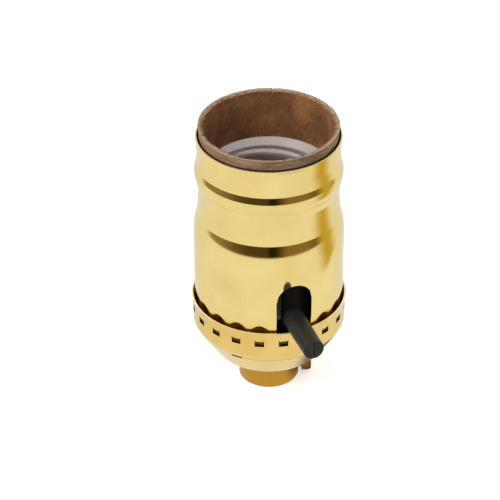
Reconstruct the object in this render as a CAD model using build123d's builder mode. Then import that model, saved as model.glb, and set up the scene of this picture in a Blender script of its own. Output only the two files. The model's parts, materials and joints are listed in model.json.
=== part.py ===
# A push-through lamp socket: a drawn brass shell and cap over a fibre liner, a rolled screw shell
# and a two-piece moulded switch body. Millimetres, +Z towards the lamp, the switch rod towards -Y.
# The origin is on the axis, at the mouth of the threaded bushing.

import os
from math import cos, radians, sin, sqrt

from build123d import *

os.makedirs("parts", exist_ok=True)

# Parts that lie against each other are drawn this far apart where their faces slope
PLAY = 0.02

# Cutters reach this far past the face that they open, or right through a piece
MARGIN = 1.0
THROUGH = 40.0

# Bushing and its side screw
BUSHING_R = 7.1
BUSHING_EDGE = 0.4
BORE_R = 4.7
SHOULDER_Z = 7.6
NECK_R = 6.0
SWAGE_R = 6.8
SWAGE_EDGE = 0.5
SWAGE_Z = 9.0
SIDE_SCREW_ANGLE = -16.0
SIDE_SCREW_Z = 2.9
SIDE_SCREW_R = 1.75
SIDE_SCREW_SHY = 0.3
SIDE_HEAD_R = 2.6
SIDE_HEAD_FROM = 7.8
SIDE_HEAD_TO = 10.0
SIDE_HEAD_CROWN = 0.6
DRIVER_SLOT = 0.8
DRIVER_SLOT_DEPTH = 0.9

# Cap: a drawn cup with a sloping foot, a flared lip and a ring of lanced windows
CAP_WALL = 0.45
CAP_FOOT_R = 12.0
CAP_FOOT_BEND = 5.0
CREASE_R = 17.0
CREASE_Z = 15.3
CAP_SIDE_BEND = 1.2
FLARE_BEND = 3.0
CAP_R = 17.87
CAP_WALL_Z = 17.0
FLARE_Z = 21.5
LIP_R = 18.2
LIP_Z = 23.6
WINDOWS = 20
WINDOW_START = 9.0
WINDOW_WIDE = 2.2
WINDOW_TALL = 1.8
WINDOW_Z = 20.7
NIB_WIDE = 2.0
NIB_TIP_R = 16.9
NIB_TIP_Z = 20.1
NIB = 0.35
NIB_SKIN = 0.05
NIB_ROOT = 0.15
NIB_BEND = 0.1

# Outer shell: a fluted skirt, a plain body, two shoulders and a flared rim
SHELL_WALL = 0.4
SKIRT_R = 17.2
SKIRT_TOP = 24.6
BODY_R = 17.43
BODY_FROM = 26.4
LOW_SHOULDER_Z = 43.2
LOW_CREASE = (16.57, 46.6)
WAIST_R = 16.27
WAIST_FROM = 49.2
WAIST_TO = 52.9
BEAD_SIDE = (17.02, 57.0)
HIGH_SHOULDER = (17.1, 58.0)
HIGH_CREASE = (16.62, 59.5)
COLLAR = (16.38, 61.8)
RIM_R = 16.72
RIM_Z = 66.3
SOFT_BEND = 5.0
WIDE_BEND = 8.0
LOW_SHOULDER_BEND = 12.0
HIGH_SHOULDER_BEND = 1.0
CREASE_BEND = 0.6
FLUTE_DEPTH = 0.5
FLUTE_WIDE = 4.6
FLUTE_TOP = 25.2
FLUTE_FIRST = 27.0
FLUTES_A_SIDE = 8
FLUTE_BACK_WIDE = 5.7
FLUTE_OVERLAP = 0.1

# Slots for the rod, front and rear
SLOT_R = 4.23
SLOT_ARCH_Z = 31.6

# Fibre liner of the shell, and the cup that lines the cap
LINER_R = 15.85
LINER_BORE_R = 14.6
LINER_TOP = 69.0
NOTCH_R = 5.8
CAP_LINER_WALL = 0.5
CAP_LINER_HOLE_R = 7.2
CAP_LINER_TOP = 15.4

# Screw shell, drawn plain at the thread's inner diameter
THREAD_R = 12.45
SCREW_WALL = 0.45
SCREW_HOLE_R = 6.9
SCREW_FLOOR_BEND = 0.9
SCREW_FLARE_BEND = 1.0
FLARE_FROM = 54.9
FLANGE_R = 14.5
FLANGE_Z = 56.5

# Moulded switch body and its cover
MOULD_R = 13.8
MOULD_FOOT_R = 12.8
COVER_Z = 33.5
COVER_TOP = 36.0
COVER_R = 14.3
BOSS_R = 6.6
BOSS_Z = 37.2
FLAT_X = 11.0
FLAT_FROM = 12.8
CAVITY_X = 4.5
CAVITY_Y = 7.5
CAVITY_FLOOR = 13.0
SADDLE_X = 2.65
SADDLE_GAP = 0.05
SADDLE_FOOT = 27.4
SADDLE_Y = 13.75
CHEEK_FROM = 2.9
CHEEK_TO = 4.4
CHEEK_BACK = 10.0
CHEEK_Y = 16.2
CHEEK_FOOT = 26.7
CHEEK_TOP = 33.3

# Push rod: its collar stops it at both ends of the cavity
ROD_Z = 26.4
ROD_R = 2.55
ROD_BORE_R = 2.63
ROD_TIP_R = 2.42
ROD_TIP_Y = -29.8
ROD_TAPER_Y = -17.6
ROD_REAR_Y = 17.0
ROD_EDGE = 0.3
TRAVEL = 8.0
COLLAR_R = 3.0
COLLAR_GAP = 0.1
POCKET_X = 1.4
POCKET_Y = 1.8
POCKET_TOP = ROD_Z + 1.1

# Rocker, turned by the rod about a pin
PIVOT_Z = ROD_Z - 8.4
TILT = 30.0
FINGER = 8.0
FINGER_X = 1.0
FINGER_NECK = 0.6
FINGER_TIP_R = 1.15
PIN_R = 1.0
PIN_BORE_R = 1.06
PIN_FROM = -6.5
HUB_R = 2.2
HUB_X = 2.6
ARM_TO = 6.0
ARM_X = 1.6
ARM_LOW = -1.1
ARM_HIGH = 0.3

# Contacts and terminals
STRIP = 0.45
BLADE = 0.4
BLADE_X = 1.4
BLADE_TO = 6.3
EAR_R = 2.0
EAR_FROM = 2.65
EAR_TO = 3.15
EAR_HOLE_R = 1.15
EAR_TAB_FROM = 2.0
EAR_TAB_TO = 3.4
LEAF_X = 3.25
LEAF = 0.4
LEAF_FROM_Y = 2.6
LEAF_TO_Y = 5.8
LEAF_TAIL = -1.9
LEAF_FOOT = PIVOT_Z - 1.6
LEAF_FOOT_TOP = PIVOT_Z + 1.6
LEAF_FOOT_Y = -1.6
TERMINAL_Z = 22.5
TERMINAL_TOP = 26.0
TERMINAL_SCREW_R = 1.6
TERMINAL_SCREW_END = 6.2
TERMINAL_HEAD_R = 2.9
TERMINAL_HEAD = 1.75
STRAP_X = 7.4
STRAP_Y = 2.5
STRAP_FOOT = 17.0
STRAP_BEND = 0.4
TAB_X = -1.6
TAB_Y_FROM = 2.4
TAB_Y_TO = 6.2
PLATE_Y_FROM = -3.2
TONGUE_X = 2.2
TONGUE_FROM = 6.0
TONGUE_BEND = 1.9
TONGUE_TIP = -1.2
TONGUE_TIP_Z = 40.2
TONGUE_END = -2.4
TONGUE_END_Z = 39.6
TONGUE_FOOT_BEND = 0.8
TONGUE_TIP_BEND = 0.7

# Rivets
RIVET_R = 1.0
RIVET_HEAD_R = 1.8
RIVET_HEAD = 0.8
CONTACT_RIVET_Y = 4.2
SHELL_RIVET_X = 9.1
BODY_RIVET_XY = 7.6

# Detent spring
DETENT = 0.3
DETENT_BEND = 1.0
DETENT_NOSE = 0.6
DETENT_X = 1.5
DETENT_BAR_X = 5.4
DETENT_BAR_FROM = -7.2
DETENT_BAR_TO = -5.4
DETENT_LOW = ROD_Z + COLLAR_R + 0.1
DETENT_TIP_Y = 1.5
DETENT_TIP_Z = DETENT_LOW + 1.3

# Rise over run of the cap's dome below its crease, and of the short slope above it
SLOPE = (CREASE_Z - SHOULDER_Z) / (CREASE_R - CAP_FOOT_R)
UPPER_SLOPE = (CAP_WALL_Z - CREASE_Z) / (CAP_R - CREASE_R)

# How a solid stands on the point where it is placed
FOOT = (Align.CENTER, Align.CENTER, Align.MIN)


def dome_z(r, depth):
    """Height at radius r of a line that lies so deep inside the dome's sloping face."""
    return SHOULDER_Z + (r - CAP_FOOT_R) * SLOPE + depth * sqrt(1 + SLOPE**2)


def dome_r(z, depth):
    """Radius at height z of the same line."""
    return CAP_FOOT_R + (z - SHOULDER_Z - depth * sqrt(1 + SLOPE**2)) / SLOPE


cap_liner_depth = CAP_WALL + PLAY
seat_depth = cap_liner_depth + CAP_LINER_WALL + PLAY
mould_foot = dome_z(MOULD_FOOT_R, seat_depth)
mould_side = dome_z(MOULD_R, seat_depth)
liner_foot = dome_z(LINER_R, seat_depth)
shell_foot = (
    CREASE_Z + (SKIRT_R - CREASE_R) * UPPER_SLOPE + (CAP_WALL + PLAY) * sqrt(1 + UPPER_SLOPE**2)
)
leaf_top = COVER_Z - LEAF


def polar(r, degrees):
    """The point at radius r, this many degrees from +X, in the ground plane."""
    return r * cos(radians(degrees)), r * sin(radians(degrees))


def export(piece, name):
    piece.part.label = name
    export_step(piece.part, f"parts/{name}.step")


def rivet(x, y, low, high, low_head, high_head):
    """A rivet along Z: its shank from low to high, heads outside it where they are given."""
    with Locations((x, y, low - low_head)):
        Cylinder(RIVET_R, high + high_head - low + low_head, align=FOOT)
        Cylinder(RIVET_HEAD_R, low_head, align=FOOT)
    with Locations((x, y, high)):
        Cylinder(RIVET_HEAD_R, high_head, align=FOOT)


def slot_outline(radius, foot):
    """An inverted U on the axis, as wide as the circle of its arch, open below."""
    with Locations((0, SLOT_ARCH_Z)):
        Circle(radius)
        Rectangle(2 * radius, SLOT_ARCH_Z - foot + MARGIN, align=(Align.CENTER, Align.MAX))


# Threaded bushing: its neck passes through the cap and is swaged over inside it
screw_plane = Plane(
    origin=(*polar(SIDE_HEAD_FROM, SIDE_SCREW_ANGLE), SIDE_SCREW_Z),
    z_dir=(*polar(-1, SIDE_SCREW_ANGLE), 0),
)
with BuildPart() as bushing:
    with BuildSketch(Plane.XZ):
        with BuildLine():
            Polyline(
                (BORE_R, 0),
                (BUSHING_R - BUSHING_EDGE, 0),
                (BUSHING_R, BUSHING_EDGE),
                (BUSHING_R, SHOULDER_Z),
                (NECK_R, SHOULDER_Z),
                (NECK_R, SHOULDER_Z + CAP_WALL),
                (SWAGE_R, SHOULDER_Z + CAP_WALL),
                (SWAGE_R - SWAGE_EDGE, SWAGE_Z),
                (BORE_R, SWAGE_Z),
                close=True,
            )
        make_face()
    revolve(axis=Axis.Z)
    with BuildSketch(screw_plane):
        Circle(SIDE_SCREW_R)
    extrude(amount=SIDE_HEAD_FROM, mode=Mode.SUBTRACT)
export(bushing, "bushing")

# Side screw: a slotted fillister head on a shank that ends short of the bore
with BuildPart() as set_screw:
    with BuildSketch(screw_plane):
        Circle(SIDE_SCREW_R)
    extrude(amount=SIDE_HEAD_FROM - BORE_R - SIDE_SCREW_SHY)
    with BuildSketch(screw_plane):
        Circle(SIDE_HEAD_R)
    extrude(amount=SIDE_HEAD_FROM - SIDE_HEAD_TO)
    outer_face = set_screw.faces().sort_by(Axis(screw_plane.origin, screw_plane.z_dir))[0]
    fillet(outer_face.edges(), radius=SIDE_HEAD_CROWN)
    with BuildSketch(screw_plane.offset(SIDE_HEAD_FROM - SIDE_HEAD_TO)):
        Rectangle(DRIVER_SLOT, THROUGH)
    extrude(amount=DRIVER_SLOT_DEPTH, mode=Mode.SUBTRACT)
export(set_screw, "set_screw")

# One nib, bent inwards from the upper edge of a window on the +X side
window_top = WINDOW_Z + WINDOW_TALL / 2
with BuildPart() as nib:
    with BuildSketch(Plane.XZ):
        with BuildLine():
            Polyline(
                (CAP_R - CAP_WALL + NIB_SKIN, window_top + NIB_ROOT),
                (CAP_R - NIB_SKIN, window_top + NIB_ROOT),
                (CAP_R - NIB_SKIN, window_top - NIB_BEND),
                (NIB_TIP_R + NIB, NIB_TIP_Z),
                (NIB_TIP_R, NIB_TIP_Z),
                (CAP_R - CAP_WALL + NIB_SKIN, window_top - NIB_BEND),
                close=True,
            )
        make_face()
    extrude(amount=NIB_WIDE / 2, both=True)

# Cap: the outer line is drawn, then the wall is laid inwards from it
with BuildPart() as cap:
    with BuildSketch(Plane.XZ):
        with BuildLine():
            cap_line = FilletPolyline(
                (NECK_R, SHOULDER_Z),
                (CAP_FOOT_R, SHOULDER_Z),
                (CREASE_R, CREASE_Z),
                (CAP_R, CAP_WALL_Z),
                (CAP_R, FLARE_Z),
                (LIP_R, LIP_Z),
                radius=[CAP_FOOT_BEND, 0, CAP_SIDE_BEND, FLARE_BEND],
            )
            offset(cap_line, amount=CAP_WALL, side=Side.LEFT)
        make_face()
    revolve(axis=Axis.Z)
    with Locations((0, 0, WINDOW_Z)):
        with PolarLocations(CAP_R, WINDOWS, start_angle=WINDOW_START):
            Box(2 * MARGIN, WINDOW_WIDE, WINDOW_TALL, mode=Mode.SUBTRACT)
    with PolarLocations(0, WINDOWS, start_angle=WINDOW_START):
        add(nib.part)
export(cap, "cap")

# Fibre cup inside the cap: its edge stays below the shell's foot
with BuildPart() as cap_liner:
    floor = SHOULDER_Z + cap_liner_depth
    with BuildSketch(Plane.XZ):
        with BuildLine():
            cup_line = FilletPolyline(
                (CAP_LINER_HOLE_R, floor),
                (dome_r(floor, cap_liner_depth), floor),
                (dome_r(CAP_LINER_TOP, cap_liner_depth), CAP_LINER_TOP),
                radius=[CAP_FOOT_BEND - cap_liner_depth],
            )
            offset(cup_line, amount=CAP_LINER_WALL, side=Side.LEFT)
        make_face()
    revolve(axis=Axis.Z)
export(cap_liner, "cap_liner")

# One flute of the skirt on the +X side, a groove whose top runs out in a round arch. The shell's
# wall follows it, so the same groove is made larger by the wall for the back of the sheet.
half_flute = FLUTE_WIDE / 2
flute_bottom_r = SKIRT_R - FLUTE_DEPTH
flute_sag = sqrt(SKIRT_R**2 - half_flute**2) - flute_bottom_r
flute_r = (half_flute**2 + flute_sag**2) / (2 * flute_sag)
flute_x = flute_bottom_r + flute_r
flute_arch_z = FLUTE_TOP - sqrt(flute_r**2 - (flute_x - SKIRT_R) ** 2)


def groove(radius, x_to, width):
    """A vertical groove cutter with a round upper end, kept to a block near the skirt."""
    x_from = flute_bottom_r - MARGIN
    with Locations((flute_x, 0, shell_foot)):
        Cylinder(radius, flute_arch_z - shell_foot, align=FOOT)
    with Locations((flute_x, 0, flute_arch_z)):
        Sphere(radius)
    with Locations(((x_from + x_to) / 2, 0, shell_foot)):
        Box(x_to - x_from, width, SKIRT_R, align=FOOT, mode=Mode.INTERSECT)


with BuildPart() as flute:
    groove(flute_r, SKIRT_R + MARGIN, FLUTE_WIDE + MARGIN)
with BuildPart() as flute_back:
    groove(flute_r + SHELL_WALL, SKIRT_R - SHELL_WALL + FLUTE_OVERLAP, FLUTE_BACK_WIDE)

# Outer shell
with BuildPart() as outer_shell:
    with BuildSketch(Plane.XZ):
        with BuildLine():
            shell_line = FilletPolyline(
                (SKIRT_R, shell_foot),
                (SKIRT_R, SKIRT_TOP),
                (BODY_R, BODY_FROM),
                (BODY_R, LOW_SHOULDER_Z),
                LOW_CREASE,
                (WAIST_R, WAIST_FROM),
                (WAIST_R, WAIST_TO),
                BEAD_SIDE,
                HIGH_SHOULDER,
                HIGH_CREASE,
                COLLAR,
                (RIM_R, RIM_Z),
                radius=[
                    SOFT_BEND,
                    SOFT_BEND,
                    LOW_SHOULDER_BEND,
                    CREASE_BEND,
                    WIDE_BEND,
                    SOFT_BEND,
                    SOFT_BEND,
                    HIGH_SHOULDER_BEND,
                    CREASE_BEND,
                    WIDE_BEND,
                ],
            )
            offset(shell_line, amount=SHELL_WALL, side=Side.LEFT)
        make_face()
    revolve(axis=Axis.Z)
    flute_step = 360 / WINDOWS
    for first in (FLUTE_FIRST - 90, FLUTE_FIRST + 90):
        side = {"start_angle": first, "angular_range": flute_step * (FLUTES_A_SIDE - 1)}
        with PolarLocations(0, FLUTES_A_SIDE, endpoint=True, **side):
            add(flute_back.part)
    for first in (FLUTE_FIRST - 90, FLUTE_FIRST + 90):
        side = {"start_angle": first, "angular_range": flute_step * (FLUTES_A_SIDE - 1)}
        with PolarLocations(0, FLUTES_A_SIDE, endpoint=True, **side):
            add(flute.part, mode=Mode.SUBTRACT)
    with BuildSketch(Plane.XZ):
        slot_outline(SLOT_R, shell_foot)
    extrude(amount=THROUGH, both=True, mode=Mode.SUBTRACT)
export(outer_shell, "outer_shell")

# Fibre liner, notched wider than the shell so that no fibre shows in the slots
with BuildPart() as fibre_liner:
    with BuildSketch(Plane.XY.offset(liner_foot)):
        Circle(LINER_R)
        Circle(LINER_BORE_R, mode=Mode.SUBTRACT)
    extrude(amount=LINER_TOP - liner_foot)
    with BuildSketch(Plane.XZ):
        slot_outline(NOTCH_R, liner_foot)
    extrude(amount=THROUGH, both=True, mode=Mode.SUBTRACT)
export(fibre_liner, "fibre_liner")

# Screw shell: a floor ring on the cover, the threaded wall and a flared mouth
with BuildPart() as screw_shell:
    with BuildSketch(Plane.XZ):
        with BuildLine():
            screw_line = FilletPolyline(
                (SCREW_HOLE_R, COVER_TOP),
                (THREAD_R + SCREW_WALL, COVER_TOP),
                (THREAD_R + SCREW_WALL, FLARE_FROM),
                (FLANGE_R, FLANGE_Z),
                radius=[SCREW_FLOOR_BEND, SCREW_FLARE_BEND],
            )
            offset(screw_line, amount=SCREW_WALL, side=Side.LEFT)
        make_face()
    revolve(axis=Axis.Z)
    with Locations((0, 0, COVER_TOP)):
        with GridLocations(2 * SHELL_RIVET_X, 0, 2, 1):
            Cylinder(RIVET_R, SCREW_WALL, align=FOOT, mode=Mode.SUBTRACT)
export(screw_shell, "screw_shell")

# Switch body: a moulded pot that sits in the cap's dome, with flats for the terminals and a
# channel for the rod
with BuildPart() as switch_body:
    with BuildSketch(Plane.XZ):
        with BuildLine():
            Polyline(
                (0, mould_foot),
                (MOULD_FOOT_R, mould_foot),
                (MOULD_R, mould_side),
                (MOULD_R, COVER_Z),
                (0, COVER_Z),
                close=True,
            )
        make_face()
    revolve(axis=Axis.Z)
    with Locations((0, 0, FLAT_FROM)):
        with GridLocations(4 * FLAT_X, 0, 2, 1):
            Box(2 * FLAT_X, THROUGH, THROUGH, align=FOOT, mode=Mode.SUBTRACT)
    for way in (-1, 1):
        cheek_x = way * (CHEEK_FROM + CHEEK_TO) / 2
        cheek_y = way * (CHEEK_BACK + CHEEK_Y) / 2
        with Locations((cheek_x, cheek_y, CHEEK_FOOT)):
            Box(CHEEK_TO - CHEEK_FROM, CHEEK_Y - CHEEK_BACK, CHEEK_TOP - CHEEK_FOOT, align=FOOT)
    with Locations((0, 0, CAVITY_FLOOR)):
        Box(2 * CAVITY_X, 2 * CAVITY_Y, THROUGH, align=FOOT, mode=Mode.SUBTRACT)
    with Locations((0, 0, ROD_Z)):
        Cylinder(ROD_BORE_R, THROUGH, rotation=(90, 0, 0), mode=Mode.SUBTRACT)
        Box(
            2 * (SADDLE_X + SADDLE_GAP),
            THROUGH,
            THROUGH,
            align=FOOT,
            mode=Mode.SUBTRACT,
        )
    # Pin hole from the hot side, and the two terminal screws' holes
    with BuildSketch(Plane.YZ.offset(PIN_FROM)):
        with Locations((0, PIVOT_Z)):
            Circle(PIN_R)
    extrude(amount=FLAT_X - PIN_FROM, mode=Mode.SUBTRACT)
    for x in (-FLAT_X, TERMINAL_SCREW_END):
        with BuildSketch(Plane.YZ.offset(x)):
            with Locations((0, TERMINAL_Z)):
                Circle(TERMINAL_SCREW_R)
        extrude(amount=FLAT_X - TERMINAL_SCREW_END, mode=Mode.SUBTRACT)
    # Way through the wall for the hot terminal's tab, and the ledges of the detent spring
    with BuildSketch(Plane.XZ.offset(-TAB_Y_TO)):
        with Locations((0, CAVITY_FLOOR)):
            Rectangle(FLAT_X, STRIP, align=(Align.MIN, Align.MIN))
    extrude(amount=TAB_Y_TO - TAB_Y_FROM, mode=Mode.SUBTRACT)
    with Locations((0, (DETENT_BAR_FROM + DETENT_BAR_TO) / 2, COVER_Z - DETENT)):
        Box(
            2 * DETENT_BAR_X,
            DETENT_BAR_TO - DETENT_BAR_FROM,
            DETENT,
            align=FOOT,
            mode=Mode.SUBTRACT,
        )
    for x, y in ((BODY_RIVET_XY, BODY_RIVET_XY), (-BODY_RIVET_XY, -BODY_RIVET_XY)):
        with Locations((x, y, mould_foot)):
            Cylinder(RIVET_R, THROUGH, align=FOOT, mode=Mode.SUBTRACT)
            Cylinder(RIVET_HEAD_R, RIVET_HEAD, align=FOOT, mode=Mode.SUBTRACT)
export(switch_body, "switch_body")

# Cover: the floor of the lamp well, with saddles that close the rod's channel at both ends
with BuildPart() as body_cover:
    with BuildSketch(Plane.XY.offset(COVER_Z)):
        Circle(COVER_R)
    extrude(amount=COVER_TOP - COVER_Z)
    with BuildSketch(Plane.XY.offset(COVER_Z)):
        Circle(BOSS_R)
    extrude(amount=BOSS_Z - COVER_Z)
    with BuildSketch(Plane.XY.offset(SADDLE_FOOT)):
        with GridLocations(0, 2 * SADDLE_Y, 1, 2):
            Circle(SADDLE_X)
        with GridLocations(0, SADDLE_Y + CAVITY_Y, 1, 2):
            Rectangle(2 * SADDLE_X, SADDLE_Y - CAVITY_Y)
        Rectangle(THROUGH, 2 * CAVITY_Y, mode=Mode.SUBTRACT)
    extrude(amount=COVER_TOP - SADDLE_FOOT)
    with Locations((0, 0, ROD_Z)):
        Cylinder(ROD_BORE_R, THROUGH, rotation=(90, 0, 0), mode=Mode.SUBTRACT)
    with Locations((-STRAP_X, 0, COVER_TOP - STRIP)):
        Box(
            THROUGH,
            2 * (STRAP_Y + PLAY),
            STRIP,
            align=(Align.MAX, Align.CENTER, Align.MIN),
            mode=Mode.SUBTRACT,
        )
    with Locations((-FLAT_X, 0, COVER_Z)):
        Box(
            THROUGH,
            2 * (STRAP_Y + PLAY),
            THROUGH,
            align=(Align.MAX, Align.CENTER, Align.MIN),
            mode=Mode.SUBTRACT,
        )
    for x, y in ((BODY_RIVET_XY, BODY_RIVET_XY), (-BODY_RIVET_XY, -BODY_RIVET_XY)):
        with Locations((x, y, COVER_Z)):
            Cylinder(RIVET_R, THROUGH, align=FOOT, mode=Mode.SUBTRACT)
        with Locations((x, y, COVER_TOP - RIVET_HEAD)):
            Cylinder(RIVET_HEAD_R, RIVET_HEAD, align=FOOT, mode=Mode.SUBTRACT)
    with Locations((0, 0, COVER_Z)):
        with GridLocations(2 * SHELL_RIVET_X, 0, 2, 1):
            Cylinder(RIVET_R, THROUGH, align=FOOT, mode=Mode.SUBTRACT)
            Cylinder(RIVET_HEAD_R, RIVET_HEAD, align=FOOT, mode=Mode.SUBTRACT)
    with Locations((0, CONTACT_RIVET_Y, COVER_Z)):
        Cylinder(RIVET_R, THROUGH, align=FOOT, mode=Mode.SUBTRACT)
export(body_cover, "body_cover")

# Push rod: a moulded rod with a stop collar and a pocket for the rocker's finger
collar_from = -CAVITY_Y + COLLAR_GAP
collar_to = CAVITY_Y - TRAVEL - COLLAR_GAP
pocket_y = -FINGER * sin(radians(TILT))
with BuildPart() as push_rod:
    with BuildSketch(Plane.YZ):
        with BuildLine():
            Polyline(
                (ROD_TIP_Y, ROD_Z),
                (ROD_TIP_Y, ROD_Z + ROD_TIP_R - ROD_EDGE),
                (ROD_TIP_Y + ROD_EDGE, ROD_Z + ROD_TIP_R),
                (ROD_TAPER_Y, ROD_Z + ROD_R),
                (collar_from, ROD_Z + ROD_R),
                (collar_from, ROD_Z + COLLAR_R),
                (collar_to, ROD_Z + COLLAR_R),
                (collar_to, ROD_Z + ROD_R),
                (ROD_REAR_Y - ROD_EDGE, ROD_Z + ROD_R),
                (ROD_REAR_Y, ROD_Z + ROD_R - ROD_EDGE),
                (ROD_REAR_Y, ROD_Z),
                close=True,
            )
        make_face()
    revolve(axis=Axis((0, 0, ROD_Z), (0, 1, 0)))
    with Locations((0, pocket_y, POCKET_TOP)):
        Box(
            2 * POCKET_X,
            2 * POCKET_Y,
            2 * COLLAR_R,
            align=(Align.CENTER, Align.CENTER, Align.MAX),
            mode=Mode.SUBTRACT,
        )
export(push_rod, "push_rod")

# Rocker, drawn on a plane tilted to the rod's rest: local x along its arm, local y along its finger
rocker_plane = Plane(
    origin=(0, 0, PIVOT_Z),
    x_dir=(0, cos(radians(TILT)), sin(radians(TILT))),
    z_dir=(1, 0, 0),
)
with BuildPart() as rocker:
    with BuildSketch(rocker_plane):
        Circle(HUB_R)
    extrude(amount=HUB_X, both=True)
    with BuildSketch(rocker_plane):
        with Locations((0, FINGER / 2)):
            Rectangle(2 * FINGER_NECK, FINGER)
        with Locations((0, FINGER)):
            Circle(FINGER_TIP_R)
    extrude(amount=FINGER_X, both=True)
    with BuildSketch(rocker_plane):
        with Locations((0, ARM_LOW)):
            Rectangle(ARM_TO, ARM_HIGH - ARM_LOW, align=(Align.MIN, Align.MIN))
    extrude(amount=ARM_X, both=True)
    with BuildSketch(rocker_plane):
        Circle(PIN_BORE_R)
    extrude(amount=HUB_X, both=True, mode=Mode.SUBTRACT)
export(rocker, "rocker")

# Rocker pin, pushed in from the hot side and kept there by the terminal plate
with BuildPart() as rocker_pin:
    with BuildSketch(Plane.YZ.offset(PIN_FROM)):
        with Locations((0, PIVOT_Z)):
            Circle(PIN_R)
    extrude(amount=FLAT_X - PIN_FROM)
export(rocker_pin, "rocker_pin")

# Contact blade: a strip under the rocker's arm with an ear beside its hub
with BuildPart() as contact_blade:
    with BuildSketch(rocker_plane.offset(-BLADE_X)):
        with Locations((EAR_TAB_FROM, ARM_LOW - BLADE)):
            Rectangle(BLADE_TO - EAR_TAB_FROM, BLADE, align=(Align.MIN, Align.MIN))
    extrude(amount=2 * BLADE_X)
    with BuildSketch(rocker_plane.offset(-BLADE_X)):
        with Locations((EAR_TAB_FROM, ARM_LOW - BLADE)):
            Rectangle(EAR_TAB_TO - EAR_TAB_FROM, BLADE, align=(Align.MIN, Align.MIN))
    extrude(amount=BLADE_X + EAR_TO)
    with BuildSketch(rocker_plane.offset(EAR_FROM)):
        Circle(EAR_R)
        with Locations((0, ARM_LOW - BLADE)):
            Rectangle(EAR_TAB_TO, ARM_HIGH - ARM_LOW + BLADE, align=(Align.MIN, Align.MIN))
        Circle(EAR_HOLE_R, mode=Mode.SUBTRACT)
    extrude(amount=EAR_TO - EAR_FROM)
export(contact_blade, "contact_blade")

# Feed spring: from the contact rivet down beside the rod to the blade's ear
with BuildPart() as feed_spring:
    with BuildSketch(Plane.YZ.offset(LEAF_X)):
        with Locations((LEAF_FROM_Y, LEAF_FOOT)):
            Rectangle(LEAF_TO_Y - LEAF_FROM_Y, COVER_Z - LEAF_FOOT, align=(Align.MIN, Align.MIN))
        with Locations((LEAF_FOOT_Y, LEAF_FOOT)):
            Rectangle(
                LEAF_TO_Y - LEAF_FOOT_Y, LEAF_FOOT_TOP - LEAF_FOOT, align=(Align.MIN, Align.MIN)
            )
        with Locations((0, PIVOT_Z)):
            Circle(EAR_HOLE_R, mode=Mode.SUBTRACT)
    extrude(amount=LEAF)
    with Locations((LEAF_TAIL, LEAF_FROM_Y, leaf_top)):
        Box(
            LEAF_X + LEAF - LEAF_TAIL,
            LEAF_TO_Y - LEAF_FROM_Y,
            LEAF,
            align=(Align.MIN, Align.MIN, Align.MIN),
        )
    with Locations((0, CONTACT_RIVET_Y, leaf_top)):
        Cylinder(RIVET_R, LEAF, align=FOOT, mode=Mode.SUBTRACT)
export(feed_spring, "feed_spring")

# Detent spring: a bar held under the cover and a tongue that hangs over the rod's collar
with BuildPart() as detent_spring:
    with Locations((0, (DETENT_BAR_FROM + DETENT_BAR_TO) / 2, COVER_Z - DETENT)):
        Box(2 * DETENT_BAR_X, DETENT_BAR_TO - DETENT_BAR_FROM, DETENT, align=FOOT)
    with BuildSketch(Plane.YZ.offset(-DETENT_X)):
        with BuildLine():
            tongue_line = FilletPolyline(
                (DETENT_BAR_FROM, COVER_Z - DETENT),
                (DETENT_BAR_TO, COVER_Z - DETENT),
                (0, DETENT_LOW),
                (DETENT_TIP_Y, DETENT_TIP_Z),
                radius=[DETENT_BEND, DETENT_NOSE],
            )
            offset(tongue_line, amount=DETENT, side=Side.LEFT)
        make_face()
    extrude(amount=2 * DETENT_X)
export(detent_spring, "detent_spring")

# Centre contact: a brass tongue, riveted to the cover's boss and bent up to the axis
with BuildPart() as centre_contact:
    with BuildSketch(Plane.YZ.offset(-TONGUE_X)):
        with BuildLine():
            contact_line = FilletPolyline(
                (TONGUE_FROM, BOSS_Z),
                (TONGUE_BEND, BOSS_Z),
                (TONGUE_TIP, TONGUE_TIP_Z),
                (TONGUE_END, TONGUE_END_Z),
                radius=[TONGUE_FOOT_BEND, TONGUE_TIP_BEND],
            )
            offset(contact_line, amount=STRIP, side=Side.RIGHT)
        make_face()
    extrude(amount=2 * TONGUE_X)
    with Locations((0, CONTACT_RIVET_Y, BOSS_Z)):
        Cylinder(RIVET_R, STRIP, align=FOOT, mode=Mode.SUBTRACT)
export(centre_contact, "centre_contact")

# Contact rivet, through the tongue, the cover and the feed spring
with BuildPart() as contact_rivet:
    rivet(0, CONTACT_RIVET_Y, leaf_top, BOSS_Z + STRIP, RIVET_HEAD, RIVET_HEAD)
export(contact_rivet, "contact_rivet")

# Rivets that hold the screw shell on the cover, their lower heads let into it
with BuildPart() as shell_rivets:
    for x in (-SHELL_RIVET_X, SHELL_RIVET_X):
        rivet(x, 0, COVER_Z + RIVET_HEAD, COVER_TOP + SCREW_WALL, RIVET_HEAD, RIVET_HEAD)
export(shell_rivets, "shell_rivets")

# Rivets that hold the cover on the body, both heads let in
with BuildPart() as body_rivets:
    for x, y in ((BODY_RIVET_XY, BODY_RIVET_XY), (-BODY_RIVET_XY, -BODY_RIVET_XY)):
        rivet(x, y, mould_foot + RIVET_HEAD, COVER_TOP - RIVET_HEAD, RIVET_HEAD, RIVET_HEAD)
export(body_rivets, "body_rivets")

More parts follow.
